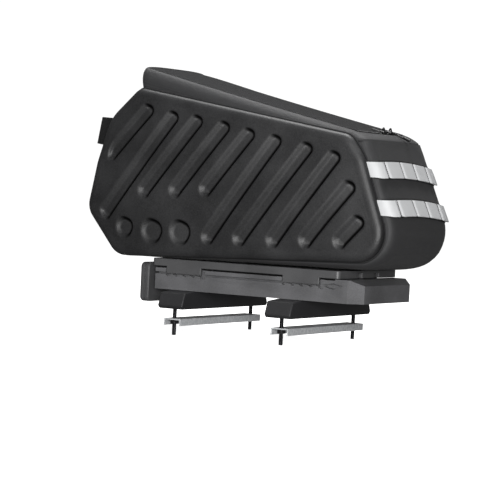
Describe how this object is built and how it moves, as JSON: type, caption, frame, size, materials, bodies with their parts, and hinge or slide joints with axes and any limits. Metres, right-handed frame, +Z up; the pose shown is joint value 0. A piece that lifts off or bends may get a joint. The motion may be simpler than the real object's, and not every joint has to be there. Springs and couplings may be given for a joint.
{
  "type": "bicycle rack bag with quick-release rack mount",
  "caption": "Hard-sided wedge rack bag with grooved shells, sloping zipped lid and reflective webbing, on a rail that clamps to a bicycle rack.",
  "frame": {"origin": "on the floor, under the middle of the whole object's box; the object stands on the ends of its clamp bolts", "axes": "+X towards the rear of the bicycle, +Y to its right side, +Z up"},
  "size_m": [0.4308, 0.1952, 0.3091],
  "materials": {
    "moulded_shell": "fine-grained matt moulding",
    "bag_fabric": "coated woven polyester",
    "reflective_webbing": "silver-grey reflective tape",
    "black_webbing": "woven",
    "zip_plastic": "satin",
    "mount_plastic": "satin moulded",
    "block_plastic": "matt moulded",
    "galvanised_steel": "zinc plated",
    "dark_steel": "blackened"
  },
  "bodies": {
    "mount": {"base_rail": "mount_plastic", "catch_pin": "dark_steel", "front_cross_block": "block_plastic", "rear_cross_block": "block_plastic", "front_clamp_bolt_left": "dark_steel", "front_clamp_bolt_right": "dark_steel", "rear_clamp_bolt_left": "dark_steel", "rear_clamp_bolt_right": "dark_steel"},
    "bag": {"slide_plate": "mount_plastic", "gusset": "bag_fabric", "side_shell_left": "moulded_shell", "side_shell_right": "moulded_shell", "upper_collar": "bag_fabric", "zip_tape": "zip_plastic", "lid": "bag_fabric", "upper_backing_webbing": "black_webbing", "upper_reflective_webbing": "reflective_webbing", "lower_backing_webbing": "black_webbing", "lower_reflective_webbing": "reflective_webbing", "front_loop": "black_webbing", "zip_slider_left": "zip_plastic", "zip_pull_left": "zip_plastic", "zip_slider_right": "zip_plastic", "zip_pull_right": "zip_plastic"},
    "release_catch": {"release_catch": "mount_plastic"},
    "front_clamp": {"front_clamp_channel": "galvanised_steel", "front_clamp_nut_left": "dark_steel", "front_clamp_nut_right": "dark_steel"},
    "rear_clamp": {"rear_clamp_channel": "galvanised_steel", "rear_clamp_nut_left": "dark_steel", "rear_clamp_nut_right": "dark_steel"}
  },
  "joints": [
    {"name": "bag_lift", "type": "slide", "parent": "mount", "child": "bag", "axis": [0, 0, 1], "range_m": [0, 0.06]},
    {"name": "catch_rock", "type": "hinge", "parent": "mount", "child": "release_catch", "pos_m": [-0.09716, 0, 0.0611], "axis": [0, -1, 0], "range_deg": [0, 10], "stiffness_Nm_per_rad": 0.4, "springref_deg": -5.16},
    {"name": "front_clamp_lift", "type": "slide", "parent": "mount", "child": "front_clamp", "axis": [0, 0, 1], "range_m": [-0.008, 0.0105]},
    {"name": "rear_clamp_lift", "type": "slide", "parent": "mount", "child": "rear_clamp", "axis": [0, 0, 1], "range_m": [-0.008, 0.0105]}
  ]
}
